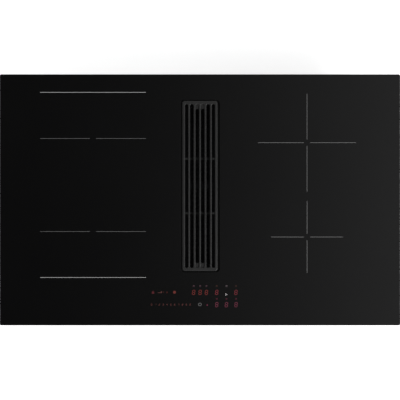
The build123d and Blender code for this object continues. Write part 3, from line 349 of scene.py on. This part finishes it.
def grid_faces(rows, columns):
    """Every four neighbours of a grid that closes on itself both ways make a face."""
    row, column = np.meshgrid(np.arange(rows), np.arange(columns), indexing="ij")
    next_row, next_column = (row + 1) % rows, (column + 1) % columns
    corners = [row * columns + column, row * columns + next_column,
               next_row * columns + next_column, next_row * columns + column]
    return np.stack(corners, axis=2).reshape(-1, 4)


def piece(name, points, faces, finishes, body):
    """Makes a mesh piece of the object with its finishes, riding on a body."""
    mesh = bpy.data.meshes.new(name)
    mesh.from_pydata(points, [], faces)
    for finish in finishes:
        mesh.materials.append(finish.material)
    made = bpy.data.objects.new(name, mesh)
    bpy.context.scene.collection.objects.link(made)
    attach(made, body)
    return made


def rim_section(depth, low, high, count=9):
    """A rim's round section: the inset is depth times one less cosine, and the level follows the sine."""
    turn = np.linspace(-np.pi / 2, np.pi / 2, count)
    return depth * (1 - np.cos(turn)), (low + high) / 2 + (high - low) / 2 * np.sin(turn)


glass_low, glass_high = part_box("glass_plate")
glass_length = glass_high.x - glass_low.x
glass_width = glass_high.y - glass_low.y
loops = []
for inset, level in zip(*rim_section(rim_round, glass_low.z, glass_high.z)):
    rim = outline(glass_length - 2 * inset, glass_width - 2 * inset, glass_corner - inset)
    loops.append(np.column_stack([rim, np.full(len(rim), level)]))
for inset, level in reversed(list(zip(*rim_section(slot_round, glass_low.z, glass_high.z)))):
    rim = outline(slot_length + 2 * inset, slot_width + 2 * inset, slot_corner + inset) + (0, slot_y)
    loops.append(np.column_stack([rim, np.full(len(rim), level)]))
glass_points = np.stack(loops)
rows, columns = glass_points.shape[:2]

polished = Finish("black_ceramic_glass", roughness=0.05)
polished.colour(polished.grain(size=0.25), (0.3, (0.0013, 0.0013, 0.0014)), (0.7, (0.0019, 0.0019, 0.0020)))
smears = polished.mixed(polished.grain(size=0.09), polished.grain(size=0.0012), share=0.3)
polished.sheen(smears, low=0.03, high=0.09)

ground = Finish("ground_glass_rim", roughness=0.3)
ground.colour(ground.grain(size=0.0008), (0.3, (0.010, 0.010, 0.011)), (0.7, (0.018, 0.018, 0.019)))
ground.relief(ground.grain(size=0.0003), depth=0.00001)

glass_top = piece("glass_top", glass_points.reshape(-1, 3), grid_faces(rows, columns), [polished, ground],
                  "hob")
face_row = np.repeat(np.arange(rows), columns)
on_rim = (face_row != rows // 2 - 1) & (face_row != rows - 1)
glass_top.data.polygons.foreach_set("use_smooth", on_rim)
glass_top.data.polygons.foreach_set("material_index", (face_row < rows // 2 - 1).astype(np.int32))
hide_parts("glass_plate")


# --- Zone marks ------------------------------------------------------------------------------------------
# Grey ceramic print fired into the glass. The joined pair of zones on the left has a line at its back and
# front and a broken line through the middle of each half, and each round zone on the right has a cross.

print_height = 0.00003
print_depth = 0.00002
broad_line = 0.0008
thin_line = 0.00043
cross_line = 0.00068
line_gap = 0.0132
pair_x, pair_length = -0.2215, 0.2191
pair_ends = (0.2226, -0.1607)
half_centres = (0.1271, -0.0656)
round_zones = ((0.2216, 0.1184, 0.2027), (0.2217, -0.0769, 0.1487))


def bar(x, y, length, width):
    """A rectangle about a point."""
    return np.array([(x, y)]) + np.array([(-1, -1), (1, -1), (1, 1), (-1, 1)]) * (length / 2, width / 2)


def flat_shapes(name, shapes, low, high, finish, body):
    """One mesh of flat shapes: each outline is lifted from low to high, with a top, a bottom and sides."""
    points, faces, first = [], [], 0
    for shape in shapes:
        count = len(shape)
        here = first + np.arange(count)
        after = first + (np.arange(count) + 1) % count
        points += [np.column_stack([shape, np.full(count, level)]) for level in (low, high)]
        faces += np.column_stack([here, after, after + count, here + count]).tolist()
        faces += [(here + count).tolist(), here[::-1].tolist()]
        first += 2 * count
    return piece(name, np.concatenate(points), faces, [finish], body)


def broken_line(x, y, length, width, along_y=False):
    """Two bars in line with a gap between them, along X or along Y."""
    arm = (length - line_gap) / 2
    reach = (line_gap + arm) / 2
    if along_y:
        return [bar(x, y + side * reach, width, arm) for side in (-1, 1)]
    return [bar(x + side * reach, y, arm, width) for side in (-1, 1)]


broad_print = Finish("broad_print", roughness=0.45)
broad_print.colour(broad_print.grain(size=0.0006), (0.3, (0.40, 0.40, 0.40)), (0.7, (0.46, 0.46, 0.46)))
broad_lines = [bar(pair_x, y, pair_length, broad_line) for y in pair_ends]
flat_shapes("pair_lines", broad_lines, glass_high.z - print_depth, glass_high.z + print_height, broad_print,
            "hob")

thin_print = Finish("thin_print", roughness=0.45)
thin_print.colour(thin_print.grain(size=0.0006), (0.3, (0.17, 0.17, 0.17)), (0.7, (0.21, 0.21, 0.21)))
thin_lines = [line for y in half_centres for line in broken_line(pair_x, y, pair_length, thin_line)]
for x, y, diameter in round_zones:
    thin_lines += broken_line(x, y, diameter, cross_line)
    thin_lines += broken_line(x, y, diameter, cross_line, along_y=True)
flat_shapes("zone_lines", thin_lines, glass_high.z - print_depth, glass_high.z + print_height, thin_print,
            "hob")


# --- Control panel ---------------------------------------------------------------------------------------
# Symbols lit from below through windows in the mask: seven-segment figures with a small place sign over
# each, a slider of eleven figures, a power key and the key signs on the left. Each glows a little unevenly.

figure_height, figure_width, figure_stroke = 0.0092, 0.0050, 0.0010
slider_height, slider_width, slider_stroke = 0.0033, 0.0020, 0.0005
figure_lean = 0.10
rear_row, front_row = -0.1916, -0.2170
rear_figures_x = (-0.0132, 0.0002, 0.0133)
rear_right_figures_x = (0.0346, 0.0744)
front_figures_x = (0.0346, 0.0547, 0.0746)
rear_sign_row, front_sign_row = -0.1785, -0.2050
fan_sign_x = 0.0549
slider_x, slider_pitch, slider_count = -0.1002, 0.00798, 11
segments_of = ("abcdef", "bc", "abged", "abgcd", "fgbc", "afgcd", "afgedc", "abc", "abcdefg", "abcdfg")


def segment(x, y, length, stroke, upright):
    """A lit bar with pointed ends: its six corners, turned a quarter if it stands upright."""
    tip, half = length / 2, stroke / 2
    corners = np.array([(-tip, 0), (half - tip, -half), (tip - half, -half), (tip, 0), (tip - half, half),
                        (half - tip, half)])
    if upright:
        corners = np.column_stack([-corners[:, 1], corners[:, 0]])
    return corners + (x, y)


def figure(x, y, height, width, stroke, lit):
    """A seven-segment figure: the lit segments a to g round two squares, leaned over by its height."""
    across, up, shrink = width / 2, height / 4, 0.85
    places = {"a": (0, 2 * up, 0), "b": (across, up, 1), "c": (across, -up, 1), "d": (0, -2 * up, 0),
              "e": (-across, -up, 1), "f": (-across, up, 1), "g": (0, 0, 0)}
    shapes = []
    for letter in lit:
        dx, dy, upright = places[letter]
        length = (2 * up if upright else width) * shrink
        shapes.append(segment(dx, dy, length, stroke, upright))
    return [np.column_stack([s[:, 0] + figure_lean * s[:, 1] + x, s[:, 1] + y]) for s in shapes]


def disc(x, y, radius, count=20):
    """A circle: its centre plus the radius times the cosine and the sine of the turn."""
    turn = np.arange(count) * 2 * np.pi / count
    return np.column_stack([x + radius * np.cos(turn), y + radius * np.sin(turn)])


def arc(x, y, radius, stroke, start, end, count=18):
    """Part of a ring: the points run along its outer side and come back along its inner side."""
    turn = np.radians(np.linspace(start, end, count))
    circle = np.column_stack([np.cos(turn), np.sin(turn)])
    return np.concatenate([(radius + stroke / 2) * circle, (radius - stroke / 2) * circle[::-1]]) + (x, y)


def place_sign(x, y):
    """The sign of a cooking place: a small square of four bars with one corner filled."""
    half, stroke = 0.0013, 0.0004
    filled = 0.7 * half
    square = [bar(x, y + side * half, 2 * half + stroke, stroke) for side in (-1, 1)]
    square += [bar(x + side * half, y, stroke, 2 * half - stroke) for side in (-1, 1)]
    return square + [bar(x + half / 2, y + half / 2, filled, filled)]


dimmest, brightest = 0.85, 1.15


def glow(name, rgb, shapes):
    """Lit shapes just proud of the glass, whose brightness wanders a little over each symbol."""
    light = Finish(name, roughness=0.06)
    light.shader.inputs["Base Color"].default_value = (0.0016, 0.0016, 0.0016, 1)
    light.shader.inputs["Emission Color"].default_value = (*rgb, 1)
    spread = {"Value": light.grain(size=0.004), "To Min": dimmest, "To Max": brightest}
    level = light.node("MapRange", spread)
    light.tree.links.new(level.outputs[0], light.shader.inputs["Emission Strength"])
    return flat_shapes(name, shapes, glass_high.z - print_depth, glass_high.z + print_height, light,
                       "hob")


def eights(xs, y):
    """A row of figures with all their segments lit."""
    return [s for x in xs for s in figure(x, y, figure_height, figure_width, figure_stroke, "abcdefg")]


def signs(xs, y):
    """A row of place signs."""
    return [s for x in xs for s in place_sign(x, y)]


glow("rear_figures", (0.180, 0.030, 0.026), eights(rear_figures_x, rear_row))
glow("rear_right_figures", (0.198, 0.029, 0.039), eights(rear_right_figures_x, rear_row))
glow("front_figures", (0.165, 0.035, 0.060), eights(front_figures_x, front_row))
glow("rear_signs", (0.113, 0.056, 0.074), signs(rear_figures_x, rear_sign_row))
glow("rear_right_signs", (0.064, 0.028, 0.020), signs(rear_right_figures_x, rear_sign_row))
glow("fan_place_sign", (0.170, 0.132, 0.143), signs([fan_sign_x], rear_sign_row))
glow("front_signs", (0.108, 0.018, 0.036), signs(front_figures_x, front_sign_row))

slider = []
for step in range(slider_count):
    x = slider_x + step * slider_pitch
    slider += figure(x, front_row, slider_height, slider_width, slider_stroke, segments_of[step % 10])
glow("slider_figures", (0.158, 0.050, 0.046), slider)

lock_x, pan_x, bar_x, pause_x, timer_x = -0.0973, -0.0826, -0.0753, -0.0682, -0.0528
sign_stroke = 0.0008
lock_length, lock_height, lock_drop = 0.0048, 0.0038, 0.0008
shackle_radius, shackle_lift = 0.0016, 0.0011
lock = [bar(lock_x, rear_row - lock_drop, lock_length, lock_height),
        arc(lock_x, rear_row + shackle_lift, shackle_radius, sign_stroke, 0, 180)]
glow("lock_sign", (0.080, 0.014, 0.018), lock)
handle_length, handle_width, handle_shift = 0.0080, 0.0010, 0.0006
pot_length, pot_height, pot_shift, pot_lift = 0.0022, 0.0026, 0.0028, 0.0008
pan = [bar(pan_x - handle_shift, rear_row - handle_shift, handle_length, handle_width),
       bar(pan_x + pot_shift, rear_row + pot_lift, pot_length, pot_height)]
glow("pan_sign", (0.102, 0.038, 0.034), pan)
bar_width, bar_lift, pause_height, pause_half_gap = 0.0006, 0.0006, 0.0034, 0.0009
pause = [bar(bar_x, rear_row + bar_lift, bar_width, pause_height)]
pause += [bar(pause_x + side * pause_half_gap, rear_row, sign_stroke, pause_height) for side in (-1, 1)]
glow("pause_sign", (0.076, 0.015, 0.013), pause)
timer_radius, timer_lift = 0.0030, 0.0004
glow("timer_key", (0.124, 0.026, 0.021), [disc(timer_x, rear_row + timer_lift, timer_radius)])

fan_x, fan_y = 0.0541, -0.1959
power_x, power_y = -0.0002, -0.2164
boost_x, boost_y = 0.0150, -0.2178
blade_reach, blade_radius = 0.0016, 0.0008
blade_turns = np.radians((0, 120, 240))
blades_x = fan_x + blade_reach * np.cos(blade_turns)
blades_y = fan_y + blade_reach * np.sin(blade_turns)
blades = [disc(x, y, blade_radius) for x, y in zip(blades_x, blades_y)]
glow("fan_sign", (0.68, 0.65, 0.66), blades)
power_radius, power_start, power_end = 0.0030, 115, 425
stem_lift, stem_length = 0.0022, 0.0028
power = [arc(power_x, power_y, power_radius, sign_stroke, power_start, power_end, count=30),
         bar(power_x, power_y + stem_lift, sign_stroke, stem_length)]
glow("power_sign", (0.165, 0.16, 0.16), power)
boost_radius = 0.0013
glow("boost_key", (0.17, 0.031, 0.060), [disc(boost_x, boost_y, boost_radius)])


# --- Grease filter ---------------------------------------------------------------------------------------
# Stainless sheet, punched and spot-welded, brushed along its length and then blackened in an oxide bath.
# Its near-black colour also stands in as painted shade for the dark shaft under the grille, so the filter
# can't be seen through it. It lifts out by its arch handle.

stainless = Finish("blackened_stainless_and_shade", roughness=0.34, metal=0.9)
brushing = stainless.grain(size=0.0004, along=(1, 0.02, 1))
# painted shade: the filter's colour is kept near-black to stand for the shade in the shaft below the grille
stainless.colour(brushing, (0.3, (0.012, 0.012, 0.013)), (0.7, (0.022, 0.022, 0.024)))
stainless.sheen(brushing, low=0.26, high=0.44)
stainless.relief(brushing, depth=0.00001, edge=0.0003)
dress(stainless, "filter_frame", "filter_basket", "filter_handle")


# --- Grille ----------------------------------------------------------------------------------------------
# Cast iron under satin black enamel, laid loose in the slot. Its colour is painted darker down to 4 mm
# below the bar tops, a painted shade in the recesses, and the enamel is baked on over the fine grain of the
# casting.

enamel = Finish("satin_enamel", roughness=0.42)
cast_grain = enamel.grain(size=0.0009, detail=4.0)
grille_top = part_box("grille")[1].z
# painted shade: the colour darkens over the four millimetres below the grille's top, mixed with the
# casting's grain
painted_shade_and_grain = enamel.mixed(enamel.height(grille_top - 0.004, grille_top), cast_grain, share=0.3)
enamel.colour(painted_shade_and_grain, (0.1, (0.002, 0.002, 0.002)), (0.8, (0.006, 0.006, 0.006)))
enamel.sheen(enamel.grain(size=0.01), low=0.36, high=0.5)
enamel.relief(cast_grain, depth=0.00005, edge=0.0004)
dress(enamel, "grille")


# --- Studio ----------------------------------------------------------------------------------------------
# A pale floor, clear from below and open under the housing so that light reaches its underside, a white
# surround that only the camera and reflections see at full strength, one softbox, and a card overhead.

floor_size = 12.0
floor_drop = 0.0005
foot_depth, foot_inset = 0.0001, 0.0015
floor_lift = 0.6
surround_strength = 0.6
softbox_size = 1.4
softbox_place = (2.2, -1.3, 2.8)
softbox_power = 80.0
card_height = 7.5
card_size = 16.0
card_ramp = 1.0
card_dark, card_gain, card_curve = 0.045, 0.38, 2.2
view_distance, view_y = 5.7511, -0.0003
lens, sensor_width = 250.0, 36.0


def stage_plane(name, corners, faces, level, material):
    """A flat sheet of the studio, which isn't part of the object."""
    mesh = bpy.data.meshes.new(name)
    mesh.from_pydata(np.column_stack([corners, np.full(len(corners), level)]), [], faces)
    mesh.materials.append(material)
    made = bpy.data.objects.new(name, mesh)
    bpy.context.scene.collection.objects.link(made)
    return made


floor_finish = Finish("studio_floor", roughness=0.9)
floor_finish.shader.inputs["Base Color"].default_value = (0.9, 0.9, 0.9, 1)
floor_finish.shader.inputs["Emission Color"].default_value = (1, 1, 1, 1)
seen = floor_finish.node("LightPath", {})
lift = floor_finish.node("Math", {0: seen.outputs["Is Camera Ray"], 1: floor_lift}, operation="MULTIPLY")
floor_finish.tree.links.new(lift.outputs[0], floor_finish.shader.inputs["Emission Strength"])
clear = floor_finish.node("BsdfTransparent", {})
underside = floor_finish.node("NewGeometry", {}).outputs["Backfacing"]
two_faces = {0: underside, 1: floor_finish.shader.outputs[0], 2: clear.outputs[0]}
one_sided = floor_finish.node("MixShader", two_faces)
floor_surface = floor_finish.tree.nodes["Material Output"].inputs["Surface"]
floor_finish.tree.links.new(one_sided.outputs[0], floor_surface)

housing_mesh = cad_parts["air_housing"].data
housing_points = np.empty(3 * len(housing_mesh.vertices))
housing_mesh.vertices.foreach_get("co", housing_points)
housing_points = housing_points.reshape(-1, 3)
underside_points = housing_points[housing_points[:, 2] < cad_box[0].z + foot_depth, :2]
foot_low, foot_high = underside_points.min(axis=0) + foot_inset, underside_points.max(axis=0) - foot_inset
floor_opening = bar(*(foot_low + foot_high) / 2, *(foot_high - foot_low))
floor_corners = np.concatenate([bar(0, 0, floor_size, floor_size), floor_opening])
floor_faces = [(0, 1, 5, 4), (1, 2, 6, 5), (2, 3, 7, 6), (3, 0, 4, 7)]
stage_plane("studio_floor", floor_corners, floor_faces, cad_box[0].z - floor_drop, floor_finish.material)

card_finish = Finish("overhead_card", roughness=1.0)
card_finish.shader.inputs["Base Color"].default_value = (0, 0, 0, 1)
card_finish.shader.inputs["Emission Color"].default_value = (1, 1, 1, 1)
card_x = card_finish.node("SeparateXYZ", {"Vector": card_finish.place}).outputs["X"]
span = {"Value": card_x, "From Min": -card_ramp, "From Max": card_ramp}
along = card_finish.node("MapRange", span).outputs[0]
curved = card_finish.node("Math", {0: along, 1: card_curve}, operation="POWER").outputs[0]
level = card_finish.node("Math", {0: curved, 1: card_gain, 2: card_dark}, operation="MULTIPLY_ADD")
card_finish.tree.links.new(level.outputs[0], card_finish.shader.inputs["Emission Strength"])
card = stage_plane("overhead_card", bar(0, 0, card_size, card_size), [(0, 1, 2, 3)], card_height,
                   card_finish.material)
card.visible_camera = card.visible_diffuse = card.visible_shadow = card.visible_transmission = False

world = bpy.data.worlds.new("surround")
bpy.context.scene.world = world
world.use_nodes = True
tree = world.node_tree
path = tree.nodes.new("ShaderNodeLightPath")
first = tree.nodes.new("ShaderNodeMath")
first.operation = "MAXIMUM"
second = tree.nodes.new("ShaderNodeMath")
second.operation = "MAXIMUM"
tree.links.new(path.outputs["Is Camera Ray"], first.inputs[0])
tree.links.new(path.outputs["Is Glossy Ray"], first.inputs[1])
tree.links.new(first.outputs[0], second.inputs[0])
tree.links.new(path.outputs["Is Transmission Ray"], second.inputs[1])
strength = tree.nodes.new("ShaderNodeMapRange")
strength.inputs["To Min"].default_value = surround_strength
strength.inputs["To Max"].default_value = 1.0
tree.links.new(second.outputs[0], strength.inputs["Value"])
background = tree.nodes["Background"]
background.inputs["Color"].default_value = (1, 1, 1, 1)
tree.links.new(strength.outputs[0], background.inputs["Strength"])

softbox = bpy.data.lights.new("softbox", "AREA")
softbox.shape = "SQUARE"
softbox.size = softbox_size
softbox.energy = softbox_power
softbox_stand = bpy.data.objects.new("softbox", softbox)
softbox_stand.location = softbox_place
aim = -softbox_stand.location
softbox_stand.rotation_euler = aim.to_track_quat("-Z", "Y").to_euler()
bpy.context.scene.collection.objects.link(softbox_stand)

camera = bpy.data.cameras.new("camera")
camera.lens = lens
camera.sensor_width = sensor_width
camera.clip_end = 100.0
camera_stand = bpy.data.objects.new("camera", camera)
camera_stand.location = (0, view_y, glass_high.z + view_distance)
bpy.context.scene.collection.objects.link(camera_stand)
bpy.context.scene.camera = camera_stand
bpy.context.scene.view_settings.view_transform = "Standard"

bpy.context.view_layer.update()
